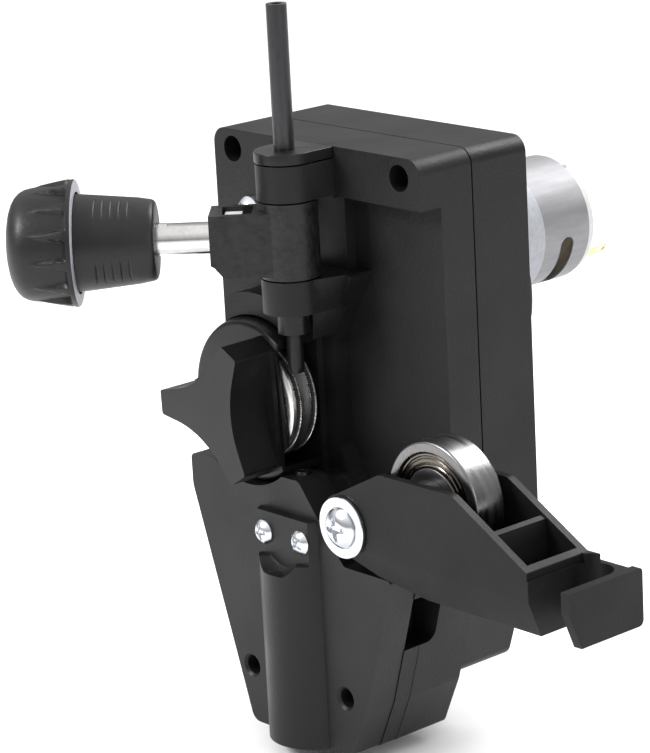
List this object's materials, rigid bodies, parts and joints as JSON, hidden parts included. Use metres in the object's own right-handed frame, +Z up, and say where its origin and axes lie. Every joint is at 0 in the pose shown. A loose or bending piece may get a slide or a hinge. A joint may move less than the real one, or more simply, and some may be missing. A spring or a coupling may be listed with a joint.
{
  "type": "wire feeder drive unit",
  "caption": "Motor-driven wire feeder with a grooved drive roll, swing-open pressure arm and a spring tension screw on a gearbox housing.",
  "frame": {"origin": "on the wire line, at the mouth of the torch bore in the bottom face", "axes": "+Z up along the wire line, -Y the front with the roll and arm, +Y towards the motor, +X right"},
  "size_m": [0.1516, 0.1529, 0.1836],
  "materials": {
    "black_plastic": "fine matt moulded texture",
    "black_gloss": "satin moulded",
    "white_nylon": "satin moulded",
    "gear_nylon": "satin moulded",
    "steel": "turned",
    "bright_steel": "polished",
    "zinc_steel": "zinc plated",
    "brass": "turned",
    "bronze": "sintered",
    "magnet": "sintered",
    "copper": "drawn",
    "carbon": "pressed"
  },
  "bodies": {
    "frame": {"front_shell": "black_plastic", "rear_shell": "black_plastic", "outlet_block": "black_plastic", "hinge_cap": "black_plastic", "roll_guard": "black_gloss", "hinge_pin": "black_plastic", "inlet_tube": "steel", "guide_nozzle": "black_gloss", "outlet_guide": "bronze", "torch_socket": "brass", "clamp_screws": "zinc_steel", "cover_screw": "zinc_steel", "shell_screws": "zinc_steel", "block_screws": "zinc_steel", "pivot_screw": "zinc_steel", "pivot_bush": "bronze", "output_bush_front": "bronze", "output_bush_rear": "bronze", "intermediate_axle": "steel", "motor_can": "zinc_steel", "flux_ring": "zinc_steel", "motor_endcap": "white_nylon", "motor_terminals": "brass", "motor_magnets": "magnet", "motor_bush": "bronze", "motor_rear_bush": "bronze", "motor_brushes": "carbon", "motor_screws": "zinc_steel"},
    "arm": {"pressure_arm": "black_plastic", "bearing_axle": "steel", "bearing_spacers": "steel", "bearing_inner_ring": "bright_steel"},
    "bearing": {"bearing_outer_ring": "bright_steel", "bearing_shields": "steel", "bearing_balls": "bright_steel", "bearing_cage": "steel"},
    "tension": {"tension_bracket": "black_plastic", "tension_shaft": "steel", "shaft_nut": "zinc_steel"},
    "sleeve": {"tension_sleeve": "black_gloss", "tension_spring": "steel"},
    "washer": {"thrust_washer": "zinc_steel"},
    "knob": {"tension_knob": "black_gloss", "tension_knob_insert": "brass"},
    "drive": {"drive_roll": "steel", "output_shaft": "steel", "drive_key": "steel", "output_gear": "gear_nylon"},
    "roll_clamp_slide": {"roll_knob_washer": "zinc_steel"},
    "roll_clamp": {"roll_knob": "black_gloss", "roll_knob_screw": "brass"},
    "intermediate": {"intermediate_gear": "gear_nylon", "intermediate_pinion": "steel", "intermediate_hub": "bronze"},
    "rotor": {"motor_shaft": "steel", "motor_pinion": "brass", "armature": "steel", "windings": "copper", "commutator": "copper"}
  },
  "joints": [
    {"name": "arm_swing", "type": "hinge", "parent": "frame", "child": "arm", "pos_m": [0.0246, 0, 0.0616], "axis": [0, -1, 0], "range_deg": [0, 89.4]},
    {"name": "bearing_spin", "type": "hinge", "parent": "arm", "child": "bearing", "pos_m": [0.04885, 0.0019, 0.07075], "axis": [0, -1, 0], "continuous": true},
    {"name": "tension_swing", "type": "hinge", "parent": "frame", "child": "tension", "pos_m": [0, 0, 0.1279], "axis": [0, 0, 1], "range_deg": [-22, 134]},
    {"name": "sleeve_slide", "type": "slide", "parent": "tension", "child": "sleeve", "axis": [-0.6947, -0.7193, 0], "range_m": [-0.0022, 0.0088], "deforming": ["tension_spring"]},
    {"name": "knob_travel", "type": "slide", "parent": "tension", "child": "washer", "axis": [-0.6947, -0.7193, 0], "range_m": [-0.0015, 0.006]},
    {"name": "knob_turn", "type": "hinge", "parent": "washer", "child": "knob", "pos_m": [-0.04168, -0.04316, 0.1279], "axis": [-0.6947, -0.7193, 0], "range_deg": [-430, 1720]},
    {"name": "drive_spin", "type": "hinge", "parent": "frame", "child": "drive", "pos_m": [-0.0147, 0.01, 0.0845], "axis": [0, 1, 0], "continuous": true},
    {"name": "roll_clamp_travel", "type": "slide", "parent": "drive", "child": "roll_clamp_slide", "axis": [0, -1, 0], "range_m": [0, 0.0121]},
    {"name": "roll_clamp_turn", "type": "hinge", "parent": "roll_clamp_slide", "child": "roll_clamp", "pos_m": [-0.0147, 0, 0.0845], "axis": [0, -1, 0], "range_deg": [0, 5400]},
    {"name": "intermediate_spin", "type": "hinge", "parent": "frame", "child": "intermediate", "pos_m": [0.00868, 0.03, 0.09335], "axis": [0, 1, 0], "continuous": true},
    {"name": "motor_spin", "type": "hinge", "parent": "frame", "child": "rotor", "pos_m": [0.0002, 0.06, 0.1158], "axis": [0, 1, 0], "continuous": true}
  ],
  "couplings": [
    {"joint": "sleeve_slide", "follows": "tension_swing", "m_per_rad": 0.0036344},
    {"joint": "knob_travel", "follows": "knob_turn", "m_per_rad": 0.00019894},
    {"joint": "roll_clamp_travel", "follows": "roll_clamp_turn", "m_per_rad": 0.00012732},
    {"joint": "intermediate_spin", "follows": "motor_spin", "ratio": -0.25},
    {"joint": "drive_spin", "follows": "motor_spin", "ratio": 0.097222}
  ]
}
